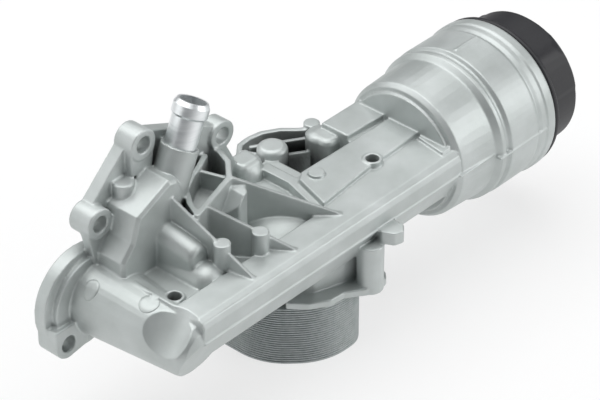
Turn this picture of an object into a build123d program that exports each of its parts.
from build123d import *
import os
from math import cos, sin, pi, radians, degrees, atan2, hypot

# Engine oil filter housing: a die-cast aluminium body with a screw-cap filter bowl,
# a coolant elbow with its flange, and a brazed plate oil cooler under it.
# Millimetres. The exported origin is on the engine face, midway between the two long
# bolt holes. +X runs along the filter bowl towards its cap, +Z away from the engine.
# In this source heights are measured from the cooler's top, 6 mm below that face.

# Filter bowl
axis_y = 9.5            # filter axis, across
axis_z = 31.0           # filter axis, above the cooler
rim_x = 174.5           # plane of the bowl's rim
bowl_depth = 70.0       # rim to the outer shoulder
bowl_bore_r = 33.5
bowl_wall = 4.2
mouth_bore_r = 36.6     # threaded mouth
mouth_depth = 24.0
rim_lip = 1.1           # how far the rim stands out from the collar
rim_width = 7.0
collar_wall = 4.7       # wall of the wider part of the bowl behind the rim
collar_length = 37.0    # rim to the end of the collar
bowl_floor = 5.0        # thickness of the wall at the bowl's closed end
seat_bore_r = 12.6      # outlet bore in the middle of the bowl's floor

# Body, the long channel between the bowl and the coolant elbow
body_left = -92.0
body_front = -27.0      # the front wall
body_back = 39.0
body_floor = 19.0       # lower edge of the walls
deck_z = 46.0           # the front strip and the deck
deck_wall = 4.0
ridge_height = 2.7      # raised panel on the deck's right half
ridge_front = -3.0
strip_width = 19.0      # the solid strip along the front wall
pocket_left = -76.0
pocket_right = 28.0
pocket_depth = 5.0
wall = 4.0
parting_z = 33.5        # parting line of the die halves

# Engine bolts
engine_z = 6.0          # the engine face, above the plane of the cooler's top
bolt_span = 139.2       # between the two long bolt holes
bolt_hole_r = 3.4
bolt_boss_r = 7.0
bolt_ring_r = 4.9
bolt_ring_height = 2.6

# Coolant tube along Y, its flange and the volute behind it
tube_x = -77.7
tube_z = 28.0
tube_r = 15.0
tube_bore_r = 11.0
tube_bore_end = 12.0    # the bore stops here, short of the bolt hole
flange_front = 44.5
flange_thick = 7.0
flange_disc_r = 27.0
flange_disc_x = -83.8
lug_boss_r = 7.9
lug_hole_r = 4.3
lug_depth = 13.0
lugs = [(-101.5, 13.5), (-77.8, 69.6), (-47.1, 98.0), (8.7, 73.8)]
volute_front = 23.5
volute_profile = [(-38.5, 85.5), (-67.8, 74.7), (-72.1, 62.1), (-79.0, 54.0)]
volute_wall = 4.0

# Hose spigot, a drawn tube pressed into a cast socket
spigot_foot = (-28.5, 34.5, 91.0)
spigot_lean = 25.0      # degrees from upright, towards the bowl
spigot_r = 7.9
spigot_bore_r = 6.6
spigot_bead_r = 8.9
spigot_length = 22.5
spigot_press = 14.0     # how deep the tube sits in its socket
socket_r = 9.4

# Plate oil cooler
cooler_x = (-10.0, 45.0)
cooler_y = (-21.5, 88.5)
cooler_corner_r = 15.0
cooler_top_plate = 4.0
cooler_plates = 22
plate_pitch = 1.35
plate_gap = 0.5
groove_depth = 1.1
cooler_pad_z = 4.0      # thickness of the casting's flange above the cooler

# Cap
cap_length = 25.0
cap_flange_r = 42.0
cap_flange_thick = 3.0
cap_r = 36.2
cap_lobe_r = 40.6
cap_lobes = 3
cap_wall = 3.2
cap_skirt_gap = 0.6     # between the skirt and the mouth's bore
cap_skirt_length = 22.0
cap_clearance = 0.25

# Filter element
element_r = 29.5
element_core_r = 15.0
element_foot = 3.0      # the bowl's floor to the element
pleats = 36
disc_thick = 2.0


def at_x(x):
    """A sketch plane across the X axis: its x is Y, its y is Z."""
    return Plane(origin=(x, 0, 0), x_dir=(0, 1, 0), z_dir=(1, 0, 0))


def at_y(y):
    """A sketch plane across the Y axis: its x is X, its y is Z, it extrudes to -Y."""
    return Plane(origin=(0, y, 0), x_dir=(1, 0, 0), z_dir=(0, -1, 0))


def rod_x(r, x0, x1, y=axis_y, z=axis_z):
    return extrude(at_x(x0) * Pos(y, z) * Circle(r), x1 - x0)


def rod_y(r, y0, y1, x, z):
    return extrude(at_y(y1) * Pos(x, z) * Circle(r), y1 - y0)


def rod_z(r, z0, z1, x, y):
    return extrude(Plane.XY.offset(z0) * Pos(x, y) * Circle(r), z1 - z0)


def prism_z(points, z0, z1, r=0.0):
    face = make_face(Polyline(*points, close=True))
    if r:
        face = fillet(face.vertices(), r)
    return extrude(Plane.XY.offset(z0) * face, z1 - z0)


def prism_y(points, y0, y1, r=0.0):
    face = make_face(Polyline(*points, close=True))
    if r:
        face = fillet(face.vertices(), r)
    return extrude(at_y(y1) * face, y1 - y0)


def prism_x(points, x0, x1):
    return extrude(at_x(x0) * make_face(Polyline(*points, close=True)), x1 - x0)


def turned_x(profile, y=axis_y, z=axis_z):
    """A solid of revolution about the filter axis, from (x, radius) points."""
    face = make_face(Polyline(*profile, close=True))
    return Pos(0, y, z) * revolve(Plane.XZ * face, Axis.X)


def plan_wall(points, z0, z1, thick):
    """A thin upright wall that follows points in plan, round at its corners."""
    solid = None
    for (xa, ya), (xb, yb) in zip(points, points[1:]):
        length = hypot(xb - xa, yb - ya)
        angle = degrees(atan2(yb - ya, xb - xa))
        slot = SlotCenterToCenter(length, thick, rotation=angle)
        piece = extrude(Plane.XY.offset(z0) * Pos((xa + xb) / 2, (ya + yb) / 2) * slot, z1 - z0)
        solid = piece if solid is None else solid + piece
    return solid


def buttress(start, end, base_z, thick):
    """A thin rib between two (x, y, top z) points, straight along its top edge."""
    (xa, ya, za), (xb, yb, zb) = start, end
    length = hypot(xb - xa, yb - ya)
    plane = Plane(origin=(xa, ya, 0), x_dir=((xb - xa) / length, (yb - ya) / length, 0),
                  z_dir=((yb - ya) / length, -(xb - xa) / length, 0))
    points = [(0, base_z), (length, base_z), (length, zb), (0, za)]
    return extrude(plane * make_face(Polyline(*points, close=True)), thick / 2, both=True)


def leaning(x, y, z, lean):
    """A plane at a point, its normal leaning from upright towards +X."""
    a = radians(lean)
    return Plane(origin=(x, y, z), x_dir=(cos(a), 0, -sin(a)), z_dir=(sin(a), 0, cos(a)))


shoulder_x = rim_x - bowl_depth
collar_x = rim_x - collar_length
main_r = bowl_bore_r + bowl_wall
collar_r = mouth_bore_r + collar_wall
rim_r = collar_r + rim_lip
cap_skirt_r = mouth_bore_r - cap_skirt_gap
bolt_x = bolt_span / 2
flange_back = flange_front + flange_thick
bowl_floor_x = shoulder_x + bowl_floor
outlet_x = 81.0
inlet_x = 95.5
inlet_z = 12.5           # the check valve's axis, below the filter axis
inlet_r = 4.2
outlet_r = 7.0




def bowl():
    """The filter bowl's outside, with its rim, its collar and the turned grooves."""
    profile = [
        (shoulder_x - 2, 0), (shoulder_x - 2, main_r - 5), (shoulder_x, main_r - 5), (shoulder_x, main_r - 2.6),
        (shoulder_x + 2.5, main_r - 0.6), (collar_x - 7, main_r + 0.6),
        (collar_x - 4, collar_r - 0.4), (collar_x - 1.6, collar_r - 0.2), (collar_x - 0.4, collar_r - 1.7),
        (collar_x + 1.4, collar_r - 1.7), (collar_x + 2.8, collar_r + 0.2),
        (rim_x - 14, collar_r + 0.2), (rim_x - 12.5, collar_r - 0.6), (rim_x - 10, collar_r + 0.3),
        (rim_x - rim_width, collar_r + 0.3), (rim_x - rim_width + 1, rim_r),
        (rim_x - 1, rim_r), (rim_x, rim_r - 1), (rim_x, 0)]
    solid = turned_x(profile)
    side, height, half = axis_y - main_r, parting_z, seam_width / 2
    solid += prism_x([(side + 3, height - half), (side - seam_height, height - half / 2),
                      (side - seam_height, height + half / 2), (side + 3, height + half)], shoulder_x - 1, collar_x - 5)
    side, height = axis_y - collar_r, axis_z + 0.8
    solid += prism_x([(side + 3, height - half), (side - seam_height, height - half / 2),
                      (side - seam_height, height + half / 2), (side + 3, height + half)], collar_x - 7, rim_x - 5)
    top = axis_z + collar_r
    return solid + prism_x([(axis_y - half, top - 2), (axis_y - half / 2, top + seam_height),
                            (axis_y + half / 2, top + seam_height), (axis_y + half, top - 2)],
                           collar_x + 6, rim_x - 14)


def bowl_cavity():
    profile = [
        (bowl_floor_x, 0), (bowl_floor_x, bowl_bore_r - 2), (bowl_floor_x + 2, bowl_bore_r),
        (rim_x - mouth_depth - 2, bowl_bore_r), (rim_x - mouth_depth, mouth_bore_r),
        (rim_x - 1.2, mouth_bore_r), (rim_x, mouth_bore_r + 1.2), (rim_x + 1, mouth_bore_r + 1.2),
        (rim_x + 1, 0)]
    return turned_x(profile)


def below_parting(x0, x1):
    """What the draft under the parting line takes off the body's front."""
    y = body_front
    return prism_x([(y - 15, parting_z), (y, parting_z), (y + 6.5, body_floor), (y + 11, 9), (y - 15, 9)], x0, x1)


def channel():
    """The body's hollow channel, open below, with a solid strip along its front."""
    low, top = body_floor, deck_z
    f, b = body_front, body_back
    outer = [(f + 6.5, low), (f, parting_z), (f, top - 4.5), (f + 1.3, top - 1.4), (f + 4.5, top), (b, top), (b, low)]
    inner = [(f + 6.5 + wall, low - 1), (f + wall, parting_z), (f + wall, top - 10),
             (f + 8, top - pocket_depth - deck_wall), (b - wall, top - pocket_depth - deck_wall),
             (b - wall, low - 1)]
    solid = prism_x(outer, body_left + 14, shoulder_x + 1) - prism_x(inner, tube_x + 4, shoulder_x - wall)
    parting = prism_x([(f + 1, parting_z - 1.2), (f - 0.7, parting_z - 0.4), (f - 0.7, parting_z + 0.4),
                       (f + 1, parting_z + 1.2)], body_left + 14, shoulder_x + 1)
    return solid + parting


def deck_left():
    """The deck behind the strip, from the tube to the flange."""
    low = deck_z - pocket_depth - deck_wall
    plate = prism_z([(tube_x, body_back - 1), (pocket_right + 8, body_back - 1),
                     (pocket_right + 8, flange_front + 1), (tube_x, flange_front + 1)], low, deck_z - pocket_depth)
    back = prism_y([(tube_x, body_floor + 2), (pocket_right + 8, body_floor + 6),
                    (pocket_right + 8, deck_z - pocket_depth), (tube_x, deck_z - pocket_depth)],
                   flange_front, flange_front + 4)
    return plate + back


def pockets():
    """What is cut from the deck's left half behind the strip."""
    y0 = body_front + strip_width
    return prism_z([(pocket_left, y0), (pocket_right - 6, y0), (pocket_right + 2, web_y), (pocket_right + 2, 60),
                    (pocket_left, 60)], deck_z - pocket_depth, deck_z + 3)


def ridge():
    """The raised panels on the deck's right half, with the groove between them."""
    top = deck_z + ridge_height
    front = prism_z([(pocket_right - 2, ridge_front - 4), (bolt_x - 6, ridge_front), (shoulder_x + 1, ridge_front + 1.5),
                     (shoulder_x + 1, 17.5), (pocket_right + 10, web_y - 1), (pocket_right + 5, 15)], deck_z - 1, top)
    back = prism_z([(web_x, 22), (shoulder_x + 1, 20.5), (shoulder_x + 1, body_back), (web_x, body_back)],
                   deck_z - 1, top + 0.4)
    end = prism_z([(shoulder_x - 7, -21), (shoulder_x + 1, -21), (shoulder_x + 1, ridge_front),
                   (shoulder_x - 4, ridge_front)], deck_z - 1, deck_z + 1.6)
    return front + back + end


def web_opening():
    """The open corner behind the deck's middle, bridged only by the bracket's ribs."""
    return prism_z([(pocket_right + 8, web_y), (web_x, web_y), (web_x, body_back + 2), (pocket_right + 8, body_back + 2)],
                   body_floor - 2, deck_z + 9)


def coolant_tube():
    """The coolant tube along Y: a drafted cone with a rounded front end."""
    f, r = body_front, tube_r
    profile = [(f, 0), (f, r - 7.5), (f + 1.6, r - 3.6), (f + 4.6, r - 1.1), (f + 9, r),
               (flange_front + 1, tube_back_r), (flange_front + 1, 0)]
    face = make_face(Polyline(*[(v, -u) for u, v in profile], close=True))
    cone = Plane(origin=(tube_x, 0, tube_z), x_dir=(1, 0, 0), z_dir=(0, 0, 1)) * Rot(0, 0, 180) * revolve(face, Axis.Y)
    fill = prism_z([(tube_x, f + 2), (tube_x + 20, f + 2), (tube_x + 20, flange_front), (tube_x, flange_front)],
                   tube_z - 6, deck_z - 4)
    return cone + fill - below_parting(body_left - 12, tube_x + 26)


def leaf_dent():
    """The shallow leaf-shaped dent on the tube's front corner."""
    plane = Plane(origin=(tube_x - 25.8, body_front + 11.5, tube_z + 25.8), x_dir=(0, 1, 0), z_dir=(1, 0, 1))
    return extrude(plane * Circle(25.3), 40, both=True)


def volute():
    """The coolant chamber behind the flange, with its sloping roof."""
    (xr, zr), (xm, zm), (xs, zs), (xl, zl) = volute_profile
    low = deck_z - pocket_depth - 1.3
    points = [(xr, low), (xr, zr - 8), (xr - 2.5, zr - 2.5), (xr - 8, zr - 0.8), (xm, zm),
              (xs, zs), (xl, zl), (xl, low)]
    block = prism_y(points, volute_front, flange_front + 2.3)
    front = block.faces().sort_by(Axis.Y)[0]
    return chamfer([e for e in front.edges() if e.center().Z > low + 2], 1.6)


def link(a, b, r, y0, y1):
    """A flat strap between two points of the flange's face."""
    length = hypot(b[0] - a[0], b[1] - a[1])
    slot = SlotCenterToCenter(length, 2 * r, rotation=degrees(atan2(b[1] - a[1], b[0] - a[0])))
    return extrude(at_y(y1) * Pos((a[0] + b[0]) / 2, (a[1] + b[1]) / 2) * slot, y1 - y0)


def flange():
    """The chamber and its upright flange: a round end, four lugs, the straps between."""
    solid = volute() + rod_y(flange_disc_r, flange_front, flange_back, flange_disc_x, tube_z)
    solid += rod_y(flange_disc_r - collar_step, flange_front - 3, flange_front + 1, flange_disc_x + 1.5, tube_z)
    corners = list(lugs[1:]) + [(pocket_right - 6, 48), (pocket_right - 6, 34), (-60, 12)]
    solid += prism_y(corners, flange_front, flange_back)
    for a, b in zip(lugs[1:], lugs[2:]):
        solid += link(a, b, 5.0, flange_front, flange_back)
    for (x, z), depth in zip(lugs, lug_depths):
        solid += rod_y(lug_boss_r, flange_back - depth, flange_back, x, z)
    x, z = lugs[0]
    r = lug_boss_r
    solid += prism_y([(x, z - r), (x + r + 4, z - r + 2), (x + 14, z + 10), (x - r, z + 10), (x - r, z)],
                     flange_back - lug_depth, flange_back)
    x, z = lugs[1]
    solid += prism_y([(x - r, z), (x + r, z), (x + 5, tube_z + tube_r - 3), (x - 1, tube_z + tube_r - 3)],
                     flange_back - lug_depth + 1.5, flange_front + 1)
    x, z = lugs[2]
    solid += prism_y([(x - r, z), (x + r, z), (x + 5, z - 18), (x - r, z - 14)],
                     flange_back - lug_depth + 1.5, flange_front + 1)
    return solid


def volute_cavity():
    (xr, zr), (xm, zm), (xs, zs), (xl, zl) = volute_profile
    w = volute_wall
    points = [(xr - w, deck_z), (xr - w, zr - 10), (xr - 10, zr - w - 1), (xm + 1, zm - w), (xs + w, zs - 1),
              (xl + w + 1, zl - 1), (xl + w + 1, deck_z)]
    return prism_y(points, volute_front + w, flange_back + 1)


def socket():
    x, y, z = spigot_foot
    return extrude(leaning(x, y, z, spigot_lean) * Circle(socket_r), -48)


def spigot_seat():
    x, y, z = spigot_foot
    seat = extrude(leaning(x, y, z, spigot_lean) * Circle(spigot_r), -spigot_press)
    return seat + extrude(leaning(x, y, z, spigot_lean) * Circle(spigot_bore_r - 0.6), -38)


def ribs_and_stubs():
    """The open cup, the buttress ribs and the round stubs on the pocket's floor."""
    base = deck_z - pocket_depth - 1
    solid = plan_wall(cup_path, base, cup_z, cup_wall)
    for start, end in ribs:
        solid += buttress(start, end, base, rib_thick)
    for x, y, z in stubs:
        solid += rod_z(stub_r, base, z, x, y)
    solid += plan_wall(lip_path, base, cup_z, cup_wall)
    solid += plan_wall(cup_web, base, cup_z - 1.5, rib_thick)
    solid += prism_z([(-41, 12), (-9, 22), (-13.5, 38), (-31, 30)], base, cup_floor_z)
    finger = prism_z([(-21, 16), (-15, 9.5), (-8, 11), (-4, 17), (-6, 23), (-12, 23)], base, cup_z, 2.0)
    slope = prism_y([(-22, base), (-22, cup_z - 15), (-11, cup_z - 4.5), (-6, cup_z - 4), (-3, cup_z - 8),
                     (-3, base)], 8, 24)
    solid += finger & slope
    solid += rod_z(stub_r, 70, 83.0, -57.5, 42.0)
    return solid


def domes():
    """Rounded roofs of the oil passages, standing in the pockets."""
    base = deck_z - pocket_depth
    solid = Pos(11, 9, base - 24) * Sphere(30) + Pos(-15, 8, base - 14) * Sphere(18)
    solid += rod_y(9.5, 0, 26, -48.5, base - 1) + Pos(-48.5, 0, base - 1) * Sphere(9.5)
    solid += rod_y(9.0, 44, flange_front + 1, 26, base + 1) + Pos(26, 44, base + 1) * Sphere(9.0)
    keep = prism_z([(-70, -20), (40, -20), (40, 60), (-70, 60)], base - 3, deck_z + 20)
    return solid & keep


def bracket():
    """The open web bracket at the back: an outer rim, cross ribs and two pads."""
    low, high = bracket_low, bracket_high
    solid = plan_wall(bracket_rim, low, high, 3.0)
    solid += rod_z(4.2, low, high + 2, *bracket_boss)
    for x, y, top in pads:
        tower = rod_z(pad_r, cooler_pad_z - 1, top, x, y)
        solid += fillet(tower.edges().filter_by(GeomType.CIRCLE).sort_by(Axis.Z)[-1], pad_r * 0.4)
    solid += prism_z(pad_block, cooler_pad_z - 1, pads[1][2] - 1.5, 4.0)
    for a, b in bracket_ribs:
        solid += plan_wall([a, b], low, high + 1.5, 2.4)
    return solid


def cooler_flange():
    """The flange above the cooler and the chamber walls that carry it."""
    x0, x1 = cooler_x
    y0, y1 = cooler_y
    points = [(x0 + 12, y1 - 12), (x0 + 12, -5), (x0 + 22, -17), (24, -22.5), (34, -29.5), (46, -30.5),
              (50.5, -26), (50.5, y1 - 12)]
    plate = prism_z(points, 0, cooler_pad_z, 4.0)
    chamber = [(x0 + 16, flange_front + 2), (x0 + 16, -2), (x0 + 24, -12), (30, -17), (47, -20), (47, flange_front + 2)]
    plate += prism_z(chamber, cooler_pad_z - 1, deck_z - pocket_depth - 1, 4.0)
    plate += rod_z(6.7, 0, body_floor + 8, 39.5, -25.5)
    for x, y in cooler_ears:
        plate += rod_z(ear_r, 0, cooler_pad_z + 8, x, y)
        plate += plan_wall([(x, y), (20, y - 2)], 0, cooler_pad_z + 4, 2 * ear_r - 3)
    return plate


def engine_towers():
    """The port tower that reaches down to the engine face, and the bolt columns."""
    solid = rod_z(bolt_boss_r - 0.8, engine_z, deck_z - pocket_depth, -bolt_x, 0)
    solid += rod_z(bolt_boss_r, engine_z, deck_z, bolt_x, 0)
    tower = [(bolt_x - 7, -6.5), (bolt_x + 5, -7), (shoulder_x - 4, -4.5), (shoulder_x + 3, 0), (shoulder_x + 3, 19),
             (shoulder_x - 4, 24), (bolt_x + 6, 24), (bolt_x - 7, 8)]
    return solid + prism_z(tower, engine_z, deck_z - 4, 3.5)


def engine_holes():
    """Bolt holes, oil and coolant passages, and the empty grooves for the face seals."""
    top = deck_z + 10
    cut = rod_z(bolt_hole_r, -1, top, -bolt_x, 0) + rod_z(bolt_hole_r, -1, top, bolt_x, 0)
    cut += rod_z(dowel_r, -1, engine_z + dowel_depth, bolt_x, 0)
    cut += rod_y(tube_bore_r, tube_bore_end, flange_back + 1, tube_x, tube_z)
    cut += rod_z(outlet_r, -1, axis_z, outlet_x, axis_y) + rod_x(outlet_r, outlet_x, bowl_floor_x + 1)
    cut += rod_x(seat_bore_r, bowl_floor_x - seat_depth, bowl_floor_x + 1)
    cut += rod_z(inlet_r, -1, inlet_z, inlet_x, axis_y) + rod_x(inlet_r, inlet_x, bowl_floor_x + 1, axis_y, inlet_z)
    cut += rod_x(cage_r, cage_x, bowl_floor_x + 1, axis_y, inlet_z)
    z = engine_z + groove_z
    cut += rod_z(outlet_r + 2.3, 0, z, outlet_x, axis_y) - rod_z(outlet_r + 0.9, -1, z + 1, outlet_x, axis_y)
    for x, y in cooler_ports:
        cut += rod_z(cooler_port_r, -1, deck_z - 24, x, y)
        cut += rod_z(seal_outer_r, -1, seal_depth, x, y)
    for x, y in cooler_ears:
        cut += rod_z(screw_r, -1, cooler_pad_z + 6, x, y)
    cut += rod_y(plug_r, body_back - plug_length, body_back + 1, *plug_at)
    return cut


def side_lug():
    """The small lug on the parting line."""
    return prism_z([(44, -24), (54.5, -24), (54, -34), (50, -37.5), (45, -36), (42, -30)],
                   parting_z - 6.5, parting_z + 0.6, 2.0)


def flange_grooves():
    """The empty seal grooves in the flange's face: round the tube and the chamber."""
    y = flange_back - groove_z
    ring = rod_y(tube_bore_r + 5.4, y, flange_back + 1, tube_x, tube_z)
    return ring - rod_y(tube_bore_r + 2.6, y - 1, flange_back + 2, tube_x, tube_z)


def housing_casting():
    """The whole die casting, bored and drilled."""
    solid = channel() + deck_left()
    solid -= pockets()
    solid -= web_opening()
    solid += domes()
    solid += coolant_tube()
    solid += ridge()
    solid -= leaf_dent()
    solid += ribs_and_stubs()
    solid += flange()
    solid -= volute_cavity()
    solid += socket()
    solid -= spigot_seat()
    for piece in (bracket(), cooler_flange(), engine_towers(), side_lug(), bowl()):
        solid += piece
    floor = deck_z - pocket_depth
    solid += rod_z(bolt_ring_r, floor - 2, floor + bolt_ring_height, -bolt_x, 0)
    solid += rod_z(bolt_ring_r, deck_z, deck_z + ridge_height + 0.6, bolt_x, 0)
    solid -= bowl_cavity()
    for hole in engine_holes().solids():
        solid -= hole
    solid -= flange_grooves()
    for (x, z), depth in zip(lugs, lug_depths):
        solid -= rod_y(lug_hole_r, flange_back - depth - 1, flange_back + 1, x, z)
    return solid


def hose_spigot():
    """A drawn tube with a rolled bead, pressed into the socket."""
    r, b, top = spigot_r, spigot_bore_r, spigot_length
    points = [(b, -spigot_press), (r, -spigot_press), (r, top - 8), (spigot_bead_r, top - 6.8),
              (spigot_bead_r, top - 2.2), (r - 0.2, top), (b, top)]
    tube = revolve(Plane.XZ * make_face(Polyline(*points, close=True)), Axis.Z)
    return leaning(*spigot_foot, spigot_lean) * tube


def cooler_outline(inset=0.0):
    """The plates' outline: a rectangle with its corners cut, two of them long."""
    (x0, x1), (y0, y1) = cooler_x, cooler_y
    x0, x1, y0, y1 = x0 + inset, x1 - inset, y0 + inset, y1 - inset
    c, r = cooler_chamfer, cooler_corner_r
    points = [(x0 + c, y0), (x1, y0), (x1, y1 - c), (x1 - c, y1), (x0, y1), (x0, y0 + c)]
    face = make_face(Polyline(*points, close=True))
    corners = face.vertices()
    square = [v for v in corners if (v.X > x1 - 1 and v.Y < y0 + 1) or (v.X < x0 + 1 and v.Y > y1 - 1)]
    face = fillet(square, r - inset)
    cut = [v for v in face.vertices() if any(hypot(v.X - a, v.Y - b) < 0.01 for a, b in points)]
    return fillet(cut, r - inset)


def oil_cooler():
    """The brazed stack: a top plate with ears, and pressed plates with gaps between."""
    solid = extrude(Plane.XY * cooler_outline(), -cooler_top_plate)
    for x, y in cooler_ears:
        solid += plan_wall([(x, y), (20, y - 2)], -ear_thick, 0, 2 * ear_r)
    z = -cooler_top_plate
    for _ in range(cooler_plates):
        solid += extrude(Plane.XY.offset(z) * cooler_outline(groove_depth), -plate_gap)
        z -= plate_gap
        solid += extrude(Plane.XY.offset(z) * cooler_outline(), -(plate_pitch - plate_gap))
        z -= plate_pitch - plate_gap
    for x, y in cooler_ports:
        solid -= rod_z(cooler_port_r, -cooler_top_plate - 1, 1, x, y)
    for x, y in cooler_ears:
        solid -= rod_z(screw_r + screw_clearance, -ear_thick - 1, 1, x, y)
    return solid


def cooler_seals():
    """A moulded ring round each of the cooler's ports."""
    rings = Part()
    for x, y in cooler_ports:
        ring = rod_z(seal_outer_r, 0, seal_depth, x, y) - rod_z(seal_outer_r - seal_width, -1, seal_depth + 1, x, y)
        rings += ring
    return rings


def cooler_screws():
    """The screws that hold the cooler up against its flange."""
    screws = Part()
    for x, y in cooler_ears:
        head = extrude(Plane.XY.offset(-ear_thick) * Pos(x, y) * RegularPolygon(screw_head_r, 6), -screw_head_high)
        washer = rod_z(screw_head_r + 0.6, -ear_thick - 1, -ear_thick, x, y)
        screws += head + washer + rod_z(screw_r, -ear_thick - 0.5, cooler_pad_z + 5, x, y)
    return screws


def dowel_sleeve():
    """The hollow dowel round a long bolt hole, standing out of the engine face."""
    tube = rod_z(dowel_r, engine_z - dowel_depth, engine_z + dowel_depth, bolt_x, 0)
    return tube - rod_z(dowel_r - 0.9, engine_z - dowel_depth - 1, engine_z + dowel_depth + 1, bolt_x, 0)


def gallery_plug():
    """The hex-socket screw plug that closes the gallery at the back."""
    x, z = plug_at
    plug = rod_y(plug_r, body_back - plug_length + 1, body_back, x, z)
    plug += rod_y(plug_r + 1.5, body_back, body_back + 2.5, x, z)
    key = extrude(at_y(body_back + 4) * Pos(x, z) * RegularPolygon(3.0, 6), 6)
    return plug - key


def cap_lobe_outline():
    """The cap's grip: a round with three broad lobes."""
    shape = Circle(cap_r)
    for i in range(cap_lobes):
        a = radians(131.0 + 360.0 * i / cap_lobes)
        w = radians(cap_lobe_half)
        far = cap_lobe_r
        points = [(0, 0)]
        for t, share in ((-1.2, -0.1), (-0.8, 0.3), (-0.35, 0.85), (0.0, 1.0), (0.35, 0.9), (0.8, 0.62), (1.4, 0.35),
                         (2.1, 0.15), (2.8, -0.1)):
            r = cap_r + (far - cap_r) * share
            points.append((r * cos(a + w * t), r * sin(a + w * t)))
        shape += make_face(Polyline(*points, close=True))
    return shape


def filter_cap():
    """The screw cap: a lobed dome, a flange on the rim and a skirt in the mouth."""
    x = rim_x + cap_clearance
    top_x = x + cap_length
    at = Pos(axis_y, axis_z)
    grip = extrude(at_x(x + cap_flange_thick - 0.5) * at * cap_lobe_outline(), cap_length - cap_flange_thick + 0.5)
    dome = turned_x([(x, 0), (x, cap_lobe_r + 1), (top_x - 9, cap_lobe_r + 1), (top_x - 4, cap_lobe_r - 1.2),
                     (top_x - 1.4, cap_lobe_r - 3.8), (top_x, cap_lobe_r - 8), (top_x, 0)])
    end = x - cap_skirt_length
    r = cap_skirt_r
    g = o_ring_depth
    skirt = turned_x([(end, 0), (end, r - 0.8), (end + 0.8, r), (x - 5.6, r), (x - 5.6, r - g), (x - 2.2, r - g),
                      (x - 2.2, r), (x, r), (x, cap_flange_r - 0.8), (x + 0.8, cap_flange_r),
                      (x + cap_flange_thick - 0.6, cap_flange_r), (x + cap_flange_thick, cap_flange_r - 0.6),
                      (x + cap_flange_thick, 0)])
    inside = cap_inner_r
    hollow = turned_x([(end - 1, 0), (end - 1, inside), (cap_inner_x - 3, inside), (cap_inner_x, inside - 4),
                       (cap_inner_x, 0)])
    return (grip & dome) + skirt - hollow


def cap_o_ring():
    """The seal ring in the cap's groove, close to the mouth's bore."""
    x = rim_x + cap_clearance
    low, high = cap_skirt_r - o_ring_depth, mouth_bore_r - running_gap
    return turned_x([(x - 5.4, low + 0.5), (x - 4.9, low), (x - 2.9, low), (x - 2.4, low + 0.5),
                     (x - 2.4, high - 0.6), (x - 2.9, high), (x - 4.9, high), (x - 5.4, high - 0.6)])


def centre_tube():
    """The slotted tube clipped in the cap; its nose plugs into the outlet seat."""
    r = tube_outer_r
    nose = bowl_floor_x - seat_depth + 0.7
    shell = turned_x([(nose, 9.0), (nose, nose_r), (nose + 0.8, nose_r), (nose + 0.8, nose_groove_r),
                      (nose + 3.2, nose_groove_r), (nose + 3.2, nose_r), (bowl_floor_x + 1, nose_r),
                      (bowl_floor_x + 1, r), (tube_end_x, r), (tube_end_x, bypass_seat_r),
                      (tube_end_x - 2, bypass_seat_r), (tube_end_x - 2, tube_inner_r), (nose + 6, tube_inner_r)])
    legs = turned_x([(tube_end_x - 1, r - 2.5), (tube_end_x - 1, r), (cap_inner_x, r), (cap_inner_x, r - 2.5)])
    for i in range(3):
        a = 60.0 * i + 30.0
        bar = Box(cap_inner_x - tube_end_x + 0.001, 4 * r, 9.0, rotation=(a, 0, 0))
        legs -= Pos((cap_inner_x + tube_end_x) / 2, axis_y, axis_z) * bar
        for x in tube_windows:
            window = Box(window_length, 4 * r, 5.0, rotation=(a, 0, 0))
            shell -= Pos(x, axis_y, axis_z) * window
    return shell + legs


def nose_o_ring():
    """The seal ring on the centre tube's nose."""
    low, high = nose_groove_r, seat_bore_r - running_gap
    x = bowl_floor_x - seat_depth + 0.7
    return turned_x([(x + 0.9, low), (x + 3.1, low), (x + 3.1, high - 0.5), (x + 2.6, high), (x + 1.4, high),
                     (x + 0.9, high - 0.5)])


def helix_spring(r, wire, length, turns):
    """A round-wire compression spring along X from the origin."""
    path = Helix(pitch=(length - 2 * wire) / turns, height=length - 2 * wire, radius=r)
    section = Plane(origin=path @ 0, z_dir=path % 0) * RegularPolygon(wire, 6)
    return Rot(0, 90, 0) * Pos(0, 0, wire) * sweep(section, path, is_frenet=True)


def bypass_poppet():
    """The bypass valve's disc with its stem, closed against the tube's end wall."""
    x = tube_end_x - 2
    return turned_x([(x, 0), (x, poppet_r), (x - 1.2, poppet_r), (x - 1.2, stem_r), (x - 13.5, stem_r),
                     (x - 14, stem_r - 0.5), (x - 14, 0)])


def bypass_spring():
    spring = helix_spring(5.2, spring_wire, bypass_spring_length, 4)
    return Pos(retainer_x, axis_y, axis_z) * spring


def bypass_retainer():
    """The three-armed bridge that carries the bypass spring."""
    x = retainer_x
    hub = turned_x([(x - 1.6, stem_r + 0.3), (x, stem_r + 0.3), (x, 6.8), (x - 1.6, 6.8)])
    ring = turned_x([(x - 1.6, 8.6), (x, 8.6), (x, tube_inner_r), (x - 1.6, tube_inner_r)])
    for i in range(3):
        arm = Rot(120 * i, 0, 0) * Pos(0, 0, 7.7) * Box(1.6, 3.2, 2.6)
        ring += Pos(x - 0.8, axis_y, axis_z) * arm
    return ring + hub


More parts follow.
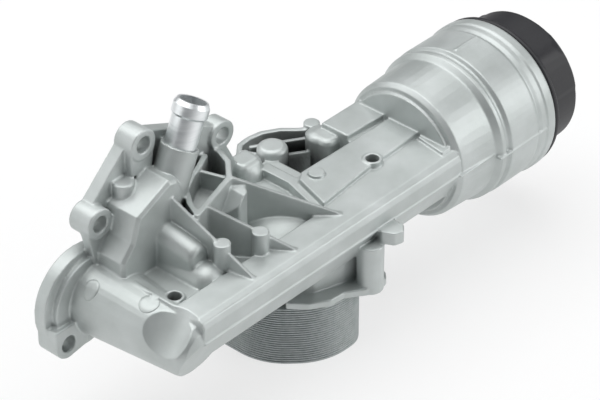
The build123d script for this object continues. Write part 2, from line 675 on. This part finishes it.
def filter_media():
    """The pleated paper, a folded star between the core and the outer tips."""
    points = []
    for i in range(pleats):
        a = 2 * pi * i / pleats
        b = 2 * pi * (i + 0.5) / pleats
        points += [(element_r * cos(a), element_r * sin(a)), (element_core_r * cos(b), element_core_r * sin(b))]
    inner = []
    for i in range(pleats):
        a = 2 * pi * i / pleats
        b = 2 * pi * (i + 0.5) / pleats
        ra, rb = element_r - paper, element_core_r - 0.8
        inner += [(ra * cos(a), ra * sin(a)), (rb * cos(b), rb * sin(b))]
    face = make_face(Polyline(*points, close=True)) - make_face(Polyline(*inner, close=True))
    x0, x1 = element_x + disc_thick, element_x + element_length - disc_thick
    return extrude(at_x(x0) * Pos(axis_y, axis_z) * face, x1 - x0)


def end_disc(x):
    """One of the element's end discs."""
    return rod_x(element_r + 0.5, x, x + disc_thick) - rod_x(tube_outer_r + element_gap, x - 1, x + disc_thick + 1)


def filter_bottom_disc():
    return end_disc(element_x)


def filter_top_disc():
    return end_disc(element_x + element_length - disc_thick)


def filter_core():
    """The perforated core tube inside the pleats."""
    x0, x1 = element_x + disc_thick, element_x + element_length - disc_thick
    low, high = tube_outer_r + element_gap, element_core_r - 0.8
    core = rod_x(high, x0, x1) - rod_x(low, x0 - 1, x1 + 1)
    for i in range(3):
        for j in range(5):
            x = x0 + (j + 0.5) * (x1 - x0) / 5
            core -= Pos(x, axis_y, axis_z) * Box(9.0, 4 * high, 5.0, rotation=(60 * i, 0, 0))
    return core


def check_cage():
    """The check valve's pressed cage: a seat ring, three posts and an end ring."""
    x, far = cage_x, bowl_floor_x
    def ring(x0, x1, low):
        return turned_x([(x0, low), (x1, low), (x1, cage_r), (x0, cage_r)], axis_y, inlet_z)
    cage = ring(x, x + 1.5, check_seat_r) + ring(far - 1.2, far, 1.6)
    posts = ring(x, far, cage_r - 1.1)
    for i in range(3):
        posts -= Pos((x + far) / 2, axis_y, inlet_z) * Rot(120 * i, 0, 0) * Pos(0, 0, cage_r) * Box(far - x - 2.7, 6, 8)
    return cage + posts


def check_plunger():
    """The check valve's cup, closed on its seat."""
    x = cage_x + 1.5
    return turned_x([(x, 0), (x, plunger_r), (x + 3, plunger_r), (x + 3, plunger_r - 0.9), (x + 1, plunger_r - 0.9),
                     (x + 1, 0)], axis_y, inlet_z)


def check_spring():
    length = bowl_floor_x - 1.2 - (cage_x + 2.5)
    return Pos(cage_x + 2.5, axis_y, inlet_z) * helix_spring(2.1, 0.35, length, 3)


cup_z = 69.0            # top of the open cup beside the spigot's socket
cup_wall = 3.0
cup_path = [(-41.0, 12.0), (-9.5, 21.4), (0.0, 31.0), (3.5, 40.0), (3.5, flange_front + 1)]
lip_path = [(-41.0, 12.0), (-37.0, 20.5), (-30.5, 29.5), (-20.0, 35.5), (-12.0, 38.5), (-4.0, 42.5)]
cup_web = [(-13.5, 38.0), (-8.5, 22.5)]
cup_floor_z = 58.0
stubs = [(-40.5, -3.0, 59.5), (-19.8, -8.1, 57.5), (41.5, 11.5, 50.2)]
stub_r = 4.2
rib_thick = 2.2
ribs = [((-46.0, 24.0, 76.0), (-37.5, -21.0, deck_z)),
        ((-33.0, 13.5, cup_z), (-7.5, -20.5, deck_z)),
        ((-8.3, 20.5, cup_z), (28.5, -17.0, deck_z))]
seam_width = 2.0        # the parting line's ridge over the bowl
seam_height = 0.7
web_x = 76.0            # the open corner behind the deck: from the pocket to here
web_y = 19.5
tube_back_r = 20.0      # the coolant tube widens towards its flange
collar_step = 3.5       # the raised ring in front of the flange's round end
lug_depths = [lug_depth, lug_depth, lug_depth - 1, 9.0]
bracket_rim = [(24, 47), (38, 60.5), (49, 69.3), (56, 70), (64, 68.6), (72.5, 63.5), (78, 57.5), (83.5, 52.5), (88, 37)]
bracket_low = 10.0
bracket_high = 36.0
bracket_boss = (85.5, 54.0)
pads = [(50.5, 48.8, 44.5), (74.0, 37.2, 46.0)]
pad_r = 7.9
pad_block = [(67.5, 30.5), (78.0, 27.0), (78.0, 44.5), (67.5, 44.5)]   # squares the right tower up to the deck
bracket_ribs = [((50, 62.6), (76, 46.3)), ((52, 48), (72, 35)), ((50.5, 48.8), (43.6, 37)),
                ((43.6, 37), (48.5, web_y - 1)), ((50.5, 50), (43.5, 63.5)), ((28, 41), (48, 48)), ((74, 40), (82, 50.5))]
cooler_chamfer = 23.0
cooler_ports = [(10.0, 8.0), (34.0, 8.0), (10.0, 58.0), (34.0, 58.0)]
cooler_port_r = 6.5
cooler_ears = [(52.0, 66.0), (-17.5, 40.0)]
ear_r = 6.5
ear_thick = 3.0
screw_r = 3.0
screw_clearance = 0.4
screw_head_r = 5.6
screw_head_high = 4.5
seal_outer_r = 9.2
seal_width = 2.2
seal_depth = 1.6
groove_z = 2.0          # depth of the empty seal grooves
dowel_r = 4.4
dowel_depth = 5.0
plug_at = (shoulder_x - 8.5, 32.0)
plug_r = 4.5
plug_length = 9.0
cap_lobe_half = 16.0    # half the width of a lobe, in degrees
cap_inner_r = 32.2
cap_inner_x = rim_x + cap_clearance + cap_length - cap_wall
o_ring_depth = 1.5
running_gap = 0.03
seat_depth = 6.0
tube_outer_r = 12.9
tube_inner_r = 10.0
nose_r = 12.0
nose_groove_r = 10.8
tube_windows = (124.0, 140.0, 156.0)
window_length = 9.0
bypass_seat_r = 5.0
poppet_r = 7.0
stem_r = 1.5
spring_wire = 0.6
element_x = bowl_floor_x + element_foot
cap_headroom = 6.05      # the element's end to the inside of the cap
element_length = cap_inner_x - cap_headroom - element_x
tube_end_x = element_x + element_length - disc_thick
retainer_drop = 12.5
retainer_x = tube_end_x - retainer_drop
bypass_spring_length = tube_end_x - 3.2 - retainer_x
element_gap = 0.08
paper = 2.2
cage_x = shoulder_x - 4.0
cage_r = 5.0
check_seat_r = 2.6
plunger_r = 3.5

parts = {
    "housing_casting": housing_casting,
    "hose_spigot": hose_spigot,
    "oil_cooler": oil_cooler,
    "cooler_seals": cooler_seals,
    "cooler_screws": cooler_screws,
    "dowel_sleeve": dowel_sleeve,
    "gallery_plug": gallery_plug,
    "filter_cap": filter_cap,
    "cap_o_ring": cap_o_ring,
    "centre_tube": centre_tube,
    "nose_o_ring": nose_o_ring,
    "bypass_poppet": bypass_poppet,
    "bypass_spring": bypass_spring,
    "bypass_retainer": bypass_retainer,
    "filter_media": filter_media,
    "filter_bottom_disc": filter_bottom_disc,
    "filter_top_disc": filter_top_disc,
    "filter_core": filter_core,
    "check_cage": check_cage,
    "check_plunger": check_plunger,
    "check_spring": check_spring,
}

os.makedirs("parts", exist_ok=True)
for name, make in parts.items():
    export_step(Pos(0, 0, -engine_z) * make(), f"parts/{name}.step")
